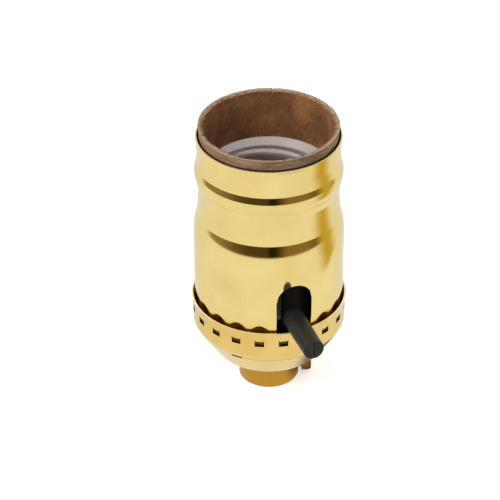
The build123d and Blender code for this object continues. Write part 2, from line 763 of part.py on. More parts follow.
# Neutral strap: a tab under the screw shell, bent down the flat to its terminal screw
with BuildPart() as neutral_strap:
    with BuildSketch(Plane.XZ.offset(-STRAP_Y)):
        with BuildLine():
            Polyline(
                (-STRAP_X, COVER_TOP),
                (-FLAT_X - STRIP, COVER_TOP),
                (-FLAT_X - STRIP, STRAP_FOOT),
                (-FLAT_X, STRAP_FOOT),
                (-FLAT_X, COVER_TOP - STRIP),
                (-STRAP_X, COVER_TOP - STRIP),
                close=True,
            )
        bend = make_face().vertices().sort_by(lambda v: v.X - v.Y)[0]
        fillet(bend, radius=STRAP_BEND)
    extrude(amount=2 * STRAP_Y)
    with Locations((-SHELL_RIVET_X, 0, COVER_TOP - STRIP)):
        Cylinder(RIVET_R, STRIP, align=FOOT, mode=Mode.SUBTRACT)
    with BuildSketch(Plane.YZ.offset(-FLAT_X - STRIP)):
        with Locations((0, TERMINAL_Z)):
            Circle(TERMINAL_SCREW_R)
    extrude(amount=STRIP, mode=Mode.SUBTRACT)
export(neutral_strap, "neutral_strap")

# Hot terminal: a plate on the other flat, bent in along the cavity's floor as the fixed contact
with BuildPart() as hot_terminal:
    with BuildSketch(Plane.YZ.offset(FLAT_X)):
        with Locations((PLATE_Y_FROM, CAVITY_FLOOR)):
            Rectangle(
                TAB_Y_TO - PLATE_Y_FROM,
                TERMINAL_TOP - CAVITY_FLOOR,
                align=(Align.MIN, Align.MIN),
            )
        with Locations((0, TERMINAL_Z)):
            Circle(TERMINAL_SCREW_R, mode=Mode.SUBTRACT)
    extrude(amount=STRIP)
    with Locations((TAB_X, TAB_Y_FROM, CAVITY_FLOOR)):
        Box(
            FLAT_X + STRIP - TAB_X,
            TAB_Y_TO - TAB_Y_FROM,
            STRIP,
            align=(Align.MIN, Align.MIN, Align.MIN),
        )
export(hot_terminal, "hot_terminal")

# Slotted binding screws through the terminals, one on each flat
for side, screw_name in ((1, "hot_screw"), (-1, "neutral_screw")):
    head_plane = Plane(origin=(side * (FLAT_X + STRIP), 0, TERMINAL_Z), z_dir=(side, 0, 0))
    with BuildPart() as terminal_screw:
        with BuildSketch(head_plane):
            Circle(TERMINAL_SCREW_R)
        extrude(amount=TERMINAL_SCREW_END - FLAT_X - STRIP)
        with BuildSketch(head_plane):
            Circle(TERMINAL_HEAD_R)
        extrude(amount=TERMINAL_HEAD)
        with BuildSketch(head_plane.offset(TERMINAL_HEAD)):
            Rectangle(DRIVER_SLOT, THROUGH)
        extrude(amount=-DRIVER_SLOT_DEPTH, mode=Mode.SUBTRACT)
    export(terminal_screw, screw_name)
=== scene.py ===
import json
from math import cos, pi, radians, sin, sqrt, tan

import bmesh
import bpy
import numpy as np
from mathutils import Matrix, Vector


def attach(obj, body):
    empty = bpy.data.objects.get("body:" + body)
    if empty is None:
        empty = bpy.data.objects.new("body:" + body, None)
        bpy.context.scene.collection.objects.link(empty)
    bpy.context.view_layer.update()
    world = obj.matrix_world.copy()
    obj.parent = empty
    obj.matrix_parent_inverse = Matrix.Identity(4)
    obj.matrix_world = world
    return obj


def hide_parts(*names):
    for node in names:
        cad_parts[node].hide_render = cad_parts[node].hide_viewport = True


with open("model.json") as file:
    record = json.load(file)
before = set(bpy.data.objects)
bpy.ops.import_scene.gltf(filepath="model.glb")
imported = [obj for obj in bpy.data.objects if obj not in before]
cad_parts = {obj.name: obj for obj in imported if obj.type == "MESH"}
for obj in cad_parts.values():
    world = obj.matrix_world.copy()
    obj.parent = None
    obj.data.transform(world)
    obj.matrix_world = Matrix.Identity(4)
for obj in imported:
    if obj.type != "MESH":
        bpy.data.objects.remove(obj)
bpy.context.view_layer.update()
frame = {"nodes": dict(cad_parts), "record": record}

# Sizes are in millimetres here and become metres where a mesh is made. Angles on the socket are in
# degrees from the side of the switch rod (-Y), growing towards +X. An outline is a list of radii
# and heights, or for the rod of places along Y and radii. Its bends are the radii of the arcs at
# the corners between its ends.
MM = 0.001
MERGE_WITHIN = 0.002

# The places of a sheet piece's finishes in its list: the first is the outside, and then come the
# inside, the recesses in painted shade, and the cut edge with a painted highlight, which is this
# high
INSIDE = 1
PAINTED_SHADE = 2
CUT = 3
CUT_HIGH = 0.02

# Cap
CAP_WALL = 0.45
CAP_LINE = [(6.0, 7.6), (12.0, 7.6), (17.0, 15.3), (17.87, 17.0), (17.87, 21.5), (18.2, 23.6)]
CAP_BENDS = [5.0, 0.5, 1.2, 3.0]
CREASE_Z = 15.3
CREASE_HALF = 0.1
CREASE_DEPTH = 0.06
CREASE_FROM = -52.0
CREASE_GAP = -22.0
CREASE_GAP_HALF = 2.5
SLIT = (-50.5, -41.5)
SLIT_HALF = 0.34
WINDOWS = 20
WINDOW_START = 9.0
WINDOW_HALF = 1.1
WINDOW_LOW = 19.8
WINDOW_HIGH = 21.6
NIB_HALF = 1.0
NIB_TIP = (17.35, 19.95)
NIB_CURVE = 1.5
NIB_SHADE = 21.25
NIB_SHADE_R = 17.85
CAP_R = 17.87
CAP_EDGE = 0.07

# Outer shell
SHELL_WALL = 0.4
SHELL_LINE = [
    (17.2, 16.73), (17.2, 24.6), (17.43, 26.4), (17.43, 43.2), (16.57, 46.6), (16.27, 49.2),
    (16.27, 52.9), (17.02, 56.7), (17.1, 57.7), (16.62, 59.5), (16.38, 61.8), (16.72, 66.3),
]
SHELL_BENDS = [5, 5, 20, 0.6, 8, 5, 4, 4, 0.6, 8]
SLOT_R = 4.23
SLOT_ARCH_Z = 31.6
SKIRT_R = 17.2
SKIRT_SHADE = 23.2
FLUTE_DEPTH = 0.5
FLUTE_WIDE = 4.6
FLUTE_TOP = 25.2
FLUTE_STEP = 18.0
FLUTE_FIRST = 27.0
RIM_Z = 66.3
RIM_LINE_Z = 65.85
RIM_LINE_HALF = 0.1
RIM_LINE_DEPTH = 0.05
RIM_LINE_MIDDLE = -2.0
RIM_LINE_RUN = 14.0
RING_LINE_Z = 55.2
RING_LINE_HALF = 0.12
RING_LINE_DEPTH = 0.02
SHELL_EDGE = 0.09

# Fibre liner
LINER_R = 15.85
LINER_BORE_R = 14.6
LINER_FOOT = 15.4
LINER_TOP = 69.0
LINER_EDGE = 0.2
NOTCH_R = 5.8
FLARE_OUTSIDE = 0.2
FLARE_INSIDE = 0.45
TORN_HEIGHT = 0.7
TORN_LEAST = 0.02
TORN_DROP = 0.09
TORN_INSIDE = 0.3
TORN_INSIDE_DROP = 0.12
TORN_LEAN = 0.16
TORN_OUT = 0.02
TORN_OUT_WAVE = 0.03

# Screw shell
THREAD_PITCH = 3.63
THREAD_MINOR = 12.45
THREAD_MAJOR = 13.2
THREAD_SKEW = 0.12
THREAD_START = 0.571
THREAD_FOOT = 38.0
THREAD_FADE = 2.5
THREAD_FINE = 50.0
SCREW_WALL = 0.4
SCREW_EDGE = 0.08
SCREW_FLOOR = 36.0
SCREW_FLOOR_BEND = 1.2
SCREW_HOLE_R = 6.9
FLANGE = (14.5, 56.5)
FLANGE_LOW = 56.45
FLANGE_EDGE_R = 14.55

# Bushing
BUSHING_R = 7.1
BORE_R = 4.7
BORE_MOUTH_R = 5.0
BUSHING_SHOULDER = 7.6
BUSHING_NECK_R = 6.0
BUSHING_MOUTH_R = 5.6
BUSHING_BENDS = [0.45, 0.1, 0.05, 0.05, 0.1, 0.1]
SWAGE_R = 6.8
SWAGE_Z = 9.0
SWAGE_SLANT = 0.5
PIPE_PITCH = 0.94
PIPE_DEPTH = 0.45

# Push rod
ROD_Z = 26.4
ROD_LINE = [(-29.8, 2.42), (-17.6, 2.55), (17.0, 2.55)]
ROD_COLLAR = (-7.4, -0.6, 3.0)
ROD_BENDS = [0.3, 0.5, 0.05, 0.05, 0.05, 0.05, 0.3]
ROD_CENTRE_R = 0.02
SEAM_HALF = 0.11
SEAM_DEPTH = 0.22
SEAM_LENGTH = 0.5

# The camera's turn about Z, which the surround that the metal mirrors shares
VIEW_TURN = -20.0
WHITE = (1.0, 1.0, 1.0, 1.0)

# Painted shade in the scribed lines: height, half width, strength, and the middle and half of the
# run
SHELL_LINE_SHADE = [
    (RIM_LINE_Z, 0.11, 0.45, RIM_LINE_MIDDLE, RIM_LINE_RUN),
    (RING_LINE_Z, RING_LINE_HALF, 0.12, 0, 200),
]
CAP_CREASE_SHADE = [(CREASE_Z, CREASE_HALF, 0.5, (180 + CREASE_FROM) / 2, (180 - CREASE_FROM) / 2)]


def linear(hex_colour):
    """An sRGB hex colour as linear RGBA."""
    rgb = np.array([int(hex_colour[i : i + 2], 16) for i in (0, 2, 4)]) / 255
    low = rgb / 12.92
    high = ((rgb + 0.055) / 1.055) ** 2.4
    return (*np.where(rgb <= 0.04045, low, high), 1.0)


def add_node(tree, kind, links=None, values=None, stops=None, **settings):
    """Adds a node, sets its attributes, input values and colour stops, and links its inputs."""
    node = tree.nodes.new(kind)
    for key, value in settings.items():
        setattr(node, key, value)
    for key, value in (values or {}).items():
        node.inputs[key].default_value = value
    for key, socket in (links or {}).items():
        tree.links.new(socket, node.inputs[key])
    if stops:
        elements = node.color_ramp.elements
        elements.remove(elements[1])
        elements[0].position, elements[0].color = stops[0]
        for place, colour in stops[1:]:
            elements.new(place).color = colour
    return node


def new_material(name):
    """An empty node material and its object-space coordinates."""
    material = bpy.data.materials.new(name)
    material.use_nodes = True
    tree = material.node_tree
    tree.nodes.clear()
    return material, tree, add_node(tree, "ShaderNodeTexCoord").outputs["Object"]


def fillet_line(points, radii, step):
    """Straight runs joined by arcs that touch both, sampled every step, and every few degrees on
    the arcs. At a corner that turns by t, the arc of radius r starts and ends r tan(t/2) away."""
    turn_step = 2.5
    points = np.array(points, float)
    out = [points[:1]]
    for i, radius in enumerate(radii, start=1):
        into = points[i] - points[i - 1]
        away = points[i + 1] - points[i]
        into /= np.hypot(*into)
        away /= np.hypot(*away)
        turn = np.arctan2(into[0] * away[1] - into[1] * away[0], into @ away)
        cut = radius * tan(abs(turn) / 2)
        centre = points[i] - into * cut + np.sign(turn) * radius * np.array([-into[1], into[0]])
        spin = np.linspace(0, turn, max(2, int(np.ceil(abs(turn) / radians(turn_step))) + 1))
        start = points[i] - into * cut - centre
        out.append(np.column_stack([
            centre[0] + start[0] * np.cos(spin) - start[1] * np.sin(spin),
            centre[1] + start[0] * np.sin(spin) + start[1] * np.cos(spin),
        ]))
    out.append(points[-1:])
    line = np.concatenate(out)
    gaps = np.hypot(*np.diff(line, axis=0).T)
    counts = np.maximum(1, np.ceil(gaps / step).astype(int))
    pieces = [
        line[i] + np.linspace(0, 1, n, endpoint=False)[:, None] * (line[i + 1] - line[i])
        for i, n in enumerate(counts)
    ]
    return np.concatenate(pieces + [line[-1:]])


def with_rows(line, heights):
    """The outline with a point at each of these heights too, and none just beside them."""
    beside = 0.05
    away = np.abs(line[:, 1:] - np.array([heights])).min(axis=1) > beside
    extra = np.column_stack([np.interp(heights, line[:, 1], line[:, 0]), heights])
    both = np.concatenate([line[away], extra])
    return both[np.argsort(both[:, 1], kind="stable")]


def scribed(z, height, half, depth):
    """Depth at height z of a fine line round the piece, a bell curve across its width."""
    return depth * np.exp(-(((z - height) / half) ** 2))


def around(r, z, angle):
    """Points at radius r and height z, at this angle from the rod's side."""
    a = np.radians(angle)
    return np.stack(np.broadcast_arrays(r * np.sin(a), -r * np.cos(a), z), axis=-1)


def patch(points, wrap=False, keep=None):
    """Vertices and quads of a grid of points, rows by columns. The columns close up if wrapped,
    and keep says which quads stay."""
    rows, columns = points.shape[:2]
    index = np.arange(rows * columns).reshape(rows, columns)
    right = np.roll(index, -1, axis=1) if wrap else index[:, 1:]
    left = index if wrap else index[:, :-1]
    quads = np.stack([left[:-1], right[:-1], right[1:], left[1:]], axis=-1)
    quads = quads[keep] if keep is not None else quads.reshape(-1, 4)
    return points.reshape(-1, 3), quads.reshape(-1, 4)


def edit(obj, work):
    """Runs bmesh work on the object's mesh."""
    b = bmesh.new()
    b.from_mesh(obj.data)
    work(b)
    b.to_mesh(obj.data)
    b.free()


def piece(name, patches, *materials):
    """One mesh object made of patches whose edges meet, with doubles merged, smooth shading and
    these materials."""
    points, faces, start = [], [], 0
    for p, f in patches:
        points.append(p)
        faces.append(f + start)
        start += len(p)
    mesh = bpy.data.meshes.new(name)
    mesh.from_pydata(np.concatenate(points) * MM, [], np.concatenate(faces).tolist())
    obj = bpy.data.objects.new(name, mesh)
    bpy.context.scene.collection.objects.link(obj)

    def tidy(b):
        bmesh.ops.remove_doubles(b, verts=b.verts[:], dist=MERGE_WITHIN * MM)
        bmesh.ops.delete(b, geom=[v for v in b.verts if not v.link_faces], context="VERTS")

    edit(obj, tidy)
    mesh.shade_smooth()
    for material in materials:
        mesh.materials.append(material)
    return obj


def modifier(obj, kind, **settings):
    """Adds a modifier with these settings."""
    mod = obj.modifiers.new(kind.title(), kind)
    for key, value in settings.items():
        setattr(mod, key, value)


def apply_modifiers(obj):
    """Takes the evaluated mesh as the object's own."""
    bpy.context.view_layer.update()
    shape = obj.evaluated_get(bpy.context.evaluated_depsgraph_get())
    mesh = bpy.data.meshes.new_from_object(shape)
    obj.modifiers.clear()
    old = obj.data
    obj.data = mesh
    bpy.data.meshes.remove(old)
    mesh.name = obj.name


def thicken(obj, wall, **settings):
    """Gives a sheet its wall, laid inwards."""
    modifier(obj, "SOLIDIFY", thickness=wall * MM, offset=-1.0, use_even_offset=True, **settings)
    apply_modifiers(obj)


def round_edges(obj, edge, angle=40, segments=2):
    """Rounds the edges at which the surface turns by more than this angle."""
    obj.data.shade_smooth()
    obj.data.set_sharp_from_angle(angle=radians(angle))
    modifier(
        obj, "BEVEL", width=edge * MM, segments=segments, limit_method="ANGLE",
        angle_limit=radians(angle), harden_normals=True, use_clamp_overlap=True,
    )


def finish(obj, where, index):
    """Gives this material to the faces whose centres, by radius and height, the test picks."""
    faces = obj.data.polygons
    centres = np.empty(len(faces) * 3)
    faces.foreach_get("center", centres)
    x, y, z = centres.reshape(-1, 3).T / MM
    materials = np.empty(len(faces), np.int32)
    faces.foreach_get("material_index", materials)
    materials[where(np.hypot(x, y), z)] = index
    faces.foreach_set("material_index", materials)


def dress(obj, body, node):
    """Puts a new piece on its body, in place of a CAD node, which it hides."""
    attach(obj, body)
    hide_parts(node)


def mesh_points(obj):
    """The mesh's points in millimetres, one row each."""
    at = np.empty(len(obj.data.vertices) * 3)
    obj.data.vertices.foreach_get("co", at)
    return at.reshape(-1, 3) / MM


def move_points(obj, at):
    """Puts the mesh's points here, given as mesh_points gives them."""
    obj.data.vertices.foreach_set("co", (at * MM).ravel())
    obj.data.update()


def camera():
    """The photograph's view: 34 degrees down, 20 degrees to the left of the rod."""
    aim = np.array([0, 0, 32.0])
    distance, elevation, azimuth = 560.1, radians(34.18), radians(VIEW_TURN)
    focal, frame_px = 2402.7, 500.0
    aim_px = (268.8, 259.76)
    sensor = 36.0
    data = bpy.data.cameras.new("camera")
    data.sensor_width = sensor
    data.lens = focal / frame_px * sensor
    data.shift_x = (frame_px / 2 - aim_px[0]) / frame_px
    data.shift_y = (aim_px[1] - frame_px / 2) / frame_px
    data.clip_start = 0.01
    data.clip_end = 20
    obj = bpy.data.objects.new("camera", data)
    bpy.context.scene.collection.objects.link(obj)
    away = np.array([
        cos(elevation) * sin(azimuth), -cos(elevation) * cos(azimuth), sin(elevation)
    ])
    obj.location = (aim + distance * away) * MM
    obj.rotation_euler = (pi / 2 - elevation, 0, azimuth)
    bpy.context.scene.camera = obj


def brass(name, colour, dark, roughness, lines=()):
    """Brass-plated sheet, drawn and polished: a bright pale gold. Drawing leaves a faint orange
    peel about 1.5 mm across, polishing a fine grain, and the scribed lines are darkened with
    painted shade. A line is given as its height, half width and strength, and the middle and half
    of its run in degrees, at whose ends it fades out."""
    cloud_mm = 9
    peel_mm = 1.5
    grain_mm = 0.35
    run_fade = 8
    painted_shade_colour = "3A2408"
    material, tree, place = new_material(name)
    cloud = add_node(
        tree, "ShaderNodeTexNoise", {"Vector": place}, {"Scale": 1 / (cloud_mm * MM), "Detail": 4.0}
    )
    colour_now = add_node(
        tree, "ShaderNodeValToRGB", {"Fac": cloud.outputs["Fac"]},
        stops=[(0.3, linear(colour)), (0.7, linear(dark))],
    ).outputs["Color"]
    split = add_node(tree, "ShaderNodeSeparateXYZ", {"Vector": place})
    front = add_node(
        tree, "ShaderNodeMath", {0: split.outputs["Y"]}, {1: -1.0}, operation="MULTIPLY"
    )
    turn = add_node(
        tree, "ShaderNodeMath", {0: split.outputs["X"], 1: front.outputs["Value"]},
        operation="ARCTAN2",
    )
    # Painted shade: each scribed line mixes the colour towards a dark brown
    for z, half, strength, middle, run in lines:
        aside = add_node(
            tree, "ShaderNodeMath", {0: turn.outputs["Value"]}, {1: radians(middle)},
            operation="SUBTRACT",
        )
        apart = add_node(tree, "ShaderNodeMath", {0: aside.outputs["Value"]}, operation="ABSOLUTE")
        along = add_node(
            tree, "ShaderNodeMapRange", {"Value": apart.outputs["Value"]},
            {"From Min": radians(run - run_fade), "From Max": radians(run), "To Min": strength,
             "To Max": 0.0},
        )
        off = add_node(
            tree, "ShaderNodeMath", {0: split.outputs["Z"]}, {1: z * MM}, operation="SUBTRACT"
        )
        gap = add_node(tree, "ShaderNodeMath", {0: off.outputs["Value"]}, operation="ABSOLUTE")
        near = add_node(
            tree, "ShaderNodeMapRange",
            {"Value": gap.outputs["Value"], "To Min": along.outputs["Result"]},
            {"From Min": half * 0.5 * MM, "From Max": half * 1.3 * MM, "To Max": 0.0},
        )
        colour_now = add_node(
            tree, "ShaderNodeMix", {"Factor": near.outputs["Result"], "A": colour_now},
            {"B": linear(painted_shade_colour)}, data_type="RGBA",
        ).outputs["Result"]
    peel = add_node(
        tree, "ShaderNodeTexNoise", {"Vector": place}, {"Scale": 1 / (peel_mm * MM), "Detail": 2.0}
    )
    grain = add_node(
        tree, "ShaderNodeTexNoise", {"Vector": place}, {"Scale": 1 / (grain_mm * MM), "Detail": 3.0}
    )
    rough = add_node(
        tree, "ShaderNodeMapRange", {"Value": grain.outputs["Fac"]},
        {"To Min": roughness * 0.7, "To Max": roughness * 1.3},
    )
    soft = add_node(
        tree, "ShaderNodeBump", {"Height": peel.outputs["Fac"]},
        {"Strength": 0.25, "Distance": 0.01 * MM},
    )
    fine = add_node(
        tree, "ShaderNodeBump", {"Height": grain.outputs["Fac"], "Normal": soft.outputs["Normal"]},
        {"Strength": 0.06, "Distance": 0.02 * MM},
    )
    shader = add_node(
        tree, "ShaderNodeBsdfPrincipled",
        {"Base Color": colour_now, "Roughness": rough.outputs["Result"],
         "Normal": fine.outputs["Normal"]},
        {"Metallic": 1.0},
    )
    add_node(tree, "ShaderNodeOutputMaterial", {"Surface": shader.outputs["BSDF"]})
    return material


def fibre(name, low, middle, high, edge_colour, along, rim_shade_strength):
    """Vulcanised fibre board, rolled into a tube and cut: matt brown with a fine speckle, faint
    streaks round the tube from rolling, or clouds if they are as tall as long, and a paler, torn
    upper edge. Painted shade darkens it from the shell's rim down, where the rim meets it."""
    speckle_mm = 0.55
    streak_mm = 0.9
    round_the_tube = 0.14
    ragged_mm = 0.35
    pale_mm = (-0.22, 0.05)
    rim_shade_mm = 0.35
    painted_shade_colour = "1E1006"
    material, tree, place = new_material(name)
    speckle = add_node(
        tree, "ShaderNodeTexNoise", {"Vector": place},
        {"Scale": 1 / (speckle_mm * MM), "Detail": 6.0, "Roughness": 0.7},
    )
    rolled = add_node(
        tree, "ShaderNodeMapping", {"Vector": place},
        {"Scale": (round_the_tube, round_the_tube, along)},
    )
    streaks = add_node(
        tree, "ShaderNodeTexNoise", {"Vector": rolled.outputs["Vector"]},
        {"Scale": 1 / (streak_mm * MM), "Detail": 4.0},
    )
    both = add_node(
        tree, "ShaderNodeMath", {0: speckle.outputs["Fac"], 1: streaks.outputs["Fac"]},
        operation="MULTIPLY",
    )
    wall = add_node(
        tree, "ShaderNodeValToRGB", {"Fac": both.outputs["Value"]},
        stops=[(0.14, linear(low)), (0.26, linear(middle)), (0.38, linear(high))],
    )
    split = add_node(tree, "ShaderNodeSeparateXYZ", {"Vector": place})
    ragged = add_node(
        tree, "ShaderNodeMath", {0: speckle.outputs["Fac"]}, {1: ragged_mm * MM},
        operation="MULTIPLY",
    )
    level = add_node(
        tree, "ShaderNodeMath", {0: split.outputs["Z"], 1: ragged.outputs["Value"]},
        operation="ADD",
    )
    top = add_node(
        tree, "ShaderNodeMapRange", {"Value": level.outputs["Value"]},
        {"From Min": (LINER_TOP + pale_mm[0]) * MM, "From Max": (LINER_TOP + pale_mm[1]) * MM},
    )
    edge = add_node(
        tree, "ShaderNodeMix", {"Factor": top.outputs["Result"], "A": wall.outputs["Color"]},
        {"B": linear(edge_colour)}, data_type="RGBA",
    )
    # Painted shade where the liner goes down into the shell's rim
    rim_shade = add_node(
        tree, "ShaderNodeMapRange", {"Value": split.outputs["Z"]},
        {"From Min": RIM_Z * MM, "From Max": (RIM_Z + rim_shade_mm) * MM, "To Min": rim_shade_strength,
         "To Max": 0.0},
    )
    rim_shaded = add_node(
        tree, "ShaderNodeMix", {"Factor": rim_shade.outputs["Result"], "A": edge.outputs["Result"]},
        {"B": linear(painted_shade_colour)}, data_type="RGBA",
    )
    bump = add_node(
        tree, "ShaderNodeBump", {"Height": speckle.outputs["Fac"]},
        {"Strength": 0.6, "Distance": 0.12 * MM},
    )
    shader = add_node(
        tree, "ShaderNodeBsdfPrincipled",
        {"Base Color": rim_shaded.outputs["Result"], "Normal": bump.outputs["Normal"]},
        {"Roughness": 0.85, "Specular IOR Level": 0.3},
    )
    add_node(tree, "ShaderNodeOutputMaterial", {"Surface": shader.outputs["BSDF"]})
    return material


def plain(name, colour, dark, roughness, metallic=0.0, grain=0.4, bump_mm=0.02, shine=0.5):
    """A material with one finish all over: two close colours in a fine grain of this size in
    millimetres, and its bump."""
    material, tree, place = new_material(name)
    fine = add_node(
        tree, "ShaderNodeTexNoise", {"Vector": place}, {"Scale": 1 / (grain * MM), "Detail": 4.0}
    )
    tint = add_node(
        tree, "ShaderNodeValToRGB", {"Fac": fine.outputs["Fac"]},
        stops=[(0.35, linear(colour)), (0.65, linear(dark))],
    )
    rough = add_node(
        tree, "ShaderNodeMapRange", {"Value": fine.outputs["Fac"]},
        {"To Min": roughness * 0.85, "To Max": min(1.0, roughness * 1.2)},
    )
    bump = add_node(
        tree, "ShaderNodeBump", {"Height": fine.outputs["Fac"]},
        {"Strength": 0.4, "Distance": bump_mm * MM},
    )
    shader = add_node(
        tree, "ShaderNodeBsdfPrincipled",
        {"Base Color": tint.outputs["Color"], "Roughness": rough.outputs["Result"],
         "Normal": bump.outputs["Normal"]},
        {"Metallic": metallic, "Specular IOR Level": shine},
    )
    add_node(tree, "ShaderNodeOutputMaterial", {"Surface": shader.outputs["BSDF"]})
    return material


def fluted(r, z, angle):
    """The shell's radius with its flutes: each is a vertical groove of round section, whose upper
    end is a sphere, and the sheet takes the lesser of the two radii, blended over a soft edge."""
    half = FLUTE_WIDE / 2
    bottom = SKIRT_R - FLUTE_DEPTH
    sag = sqrt(SKIRT_R**2 - half**2) - bottom
    radius = (half**2 + sag**2) / (2 * sag)
    centre = bottom + radius
    arch = FLUTE_TOP - sqrt(radius**2 - (centre - SKIRT_R) ** 2)
    folded = np.abs((angle + 180) % 360 - 180)
    side = np.where(folded > 90, 180 - folded, folded)
    offset = np.radians((side - FLUTE_FIRST + FLUTE_STEP / 2) % FLUTE_STEP - FLUTE_STEP / 2)
    offset = np.where(side < FLUTE_FIRST - FLUTE_STEP / 2, pi / 2, offset)
    rise = np.clip(z - arch, 0, None)
    inside = radius**2 - rise**2 - (centre * np.sin(offset)) ** 2
    surface = centre * np.cos(offset) - np.sqrt(np.clip(inside, 0, None))
    groove = np.where(inside > 0, surface, r + 1)
    soft = 0.12
    mix = np.clip(0.5 + 0.5 * (r - groove) / soft, 0, 1)
    return r * (1 - mix) + groove * mix - soft * mix * (1 - mix)


def slotted_tube(radius_at, foot, slot_r, columns, rows_low, rows_arch, rows_top):
    """A tube round Z with an inverted-U slot at the front and rear. Between the slots the grid
    runs from the foot to the top; over a slot each column starts on the arch, at the arch's centre
    plus the square root of its radius squared less x squared, and joins the same rows above it.
    The columns are those over a slot and those between the slots."""
    clear = 2.0
    over = SLOT_ARCH_Z + slot_r + clear
    share = np.linspace(0, 1, rows_arch)
    upper = rows_top[rows_top > over]
    edge = np.degrees(np.arcsin(slot_r / radius_at(SLOT_ARCH_Z, 0.0)))
    patches = []
    for middle in (0, 180):
        a = middle + np.linspace(-edge, edge, columns[0])
        x = radius_at(SLOT_ARCH_Z, 0.0) * np.sin(np.radians(a - middle))
        arch = SLOT_ARCH_Z + np.sqrt(np.clip(slot_r**2 - x**2, 0, None))
        z = arch + share[:, None] * (over - arch)
        z = np.concatenate([z, np.repeat(upper[:, None], len(a), axis=1)])
        patches.append(patch(around(radius_at(z, a[None, :]), z, a[None, :])))
        b = middle + np.linspace(edge, 180 - edge, columns[1])
        z = np.concatenate([
            np.linspace(foot, SLOT_ARCH_Z, rows_low, endpoint=False),
            SLOT_ARCH_Z + share * (over - SLOT_ARCH_Z),
            upper,
        ])[:, None]
        patches.append(patch(around(radius_at(z, b[None, :]), z, b[None, :])))
    return patches


def make_outer_shell(*materials):
    """The drawn shell: its outline turned round Z, less the flutes and two fine scribed lines, one
    of which runs only a little way round the front."""
    line = fillet_line(SHELL_LINE, SHELL_BENDS, 0.5)
    across_line = np.array([-0.24, -0.12, 0.0, 0.12, 0.24])
    line = with_rows(line, np.concatenate([RIM_LINE_Z + across_line, RING_LINE_Z + across_line]))

    def radius_at(z, angle):
        r = np.interp(z, line[:, 1], line[:, 0])
        folded = (angle + 180) % 360 - 180
        rim_depth = RIM_LINE_DEPTH * np.exp(-(((folded - RIM_LINE_MIDDLE) / RIM_LINE_RUN) ** 2))
        r = r - scribed(z, RIM_LINE_Z, RIM_LINE_HALF, rim_depth)
        r = r - scribed(z, RING_LINE_Z, RING_LINE_HALF, RING_LINE_DEPTH)
        return fluted(r, z, angle)

    shell = piece(
        "shell_drawn",
        slotted_tube(
            radius_at, foot=SHELL_LINE[0][1], slot_r=SLOT_R, columns=(25, 110), rows_low=36,
            rows_arch=14, rows_top=line[:, 1],
        ),
        *materials,
    )
    thicken(shell, SHELL_WALL, material_offset=INSIDE)
    # Painted shade on the skirt's foot, which lies down in the gap under the cap's lip
    finish(shell, lambda r, z: z < SKIRT_SHADE, PAINTED_SHADE)
    # A painted highlight on the rim's cut edge
    finish(shell, lambda r, z: z > RIM_Z - CUT_HIGH, CUT)
    round_edges(shell, SHELL_EDGE)
    dress(shell, "socket", "outer_shell")


def make_fibre_liner(board, bore):
    """A tube, flared a little above the shell's rim, whose upper edge is torn: it drops by a sum of
    sine waves round the tube, the weaker the shorter they are, and its inner corner leans by
    another such sum."""
    below_top = np.array([0.9, 0.6, 0.35, 0.15, 0])
    rows = np.concatenate([np.arange(40.0, LINER_TOP - 1, 1.0), LINER_TOP - below_top])

    def radius_at(z, angle):
        return np.broadcast_arrays(LINER_R + 0 * z, angle)[0]

    liner = piece(
        "liner_tube",
        slotted_tube(
            radius_at, foot=LINER_FOOT, slot_r=NOTCH_R, columns=(25, 150), rows_low=8, rows_arch=8,
            rows_top=rows,
        ),
        board, bore,
    )
    thicken(liner, LINER_R - LINER_BORE_R, material_offset=INSIDE)
    at = mesh_points(liner)
    angle = np.arctan2(at[:, 0], -at[:, 1])
    r = np.hypot(at[:, 0], at[:, 1])
    rng = np.random.default_rng(5)
    drop = np.zeros(len(at))
    lean = np.zeros(len(at))
    for k in range(4, 150, 3):
        drop += rng.normal() / k**0.4 * np.sin(k * angle + rng.uniform(0, 2 * pi))
        lean += rng.normal() / k**0.4 * np.sin(k * angle + rng.uniform(0, 2 * pi))
    near_top = np.clip((at[:, 2] - LINER_TOP + TORN_HEIGHT) / TORN_HEIGHT, 0, 1)
    inner = r < (LINER_R + LINER_BORE_R) / 2
    outer_drop = TORN_LEAST + TORN_DROP * np.abs(drop)
    inner_drop = TORN_INSIDE + TORN_INSIDE_DROP * np.abs(lean)
    at[:, 2] -= near_top * (outer_drop + inner * inner_drop)
    above_rim = np.clip((at[:, 2] - RIM_Z) / (LINER_TOP - RIM_Z), 0, 1)
    flare = above_rim * np.where(inner, FLARE_INSIDE, FLARE_OUTSIDE)
    leans_in = np.where(inner, TORN_LEAN * lean, TORN_OUT_WAVE * drop - TORN_OUT)
    new_r = r + flare - near_top**2 * leans_in
    at[:, :2] *= (new_r / r)[:, None]
    move_points(liner, at)
    round_edges(liner, LINER_EDGE, segments=3)
    dress(liner, "socket", "fibre_liner")


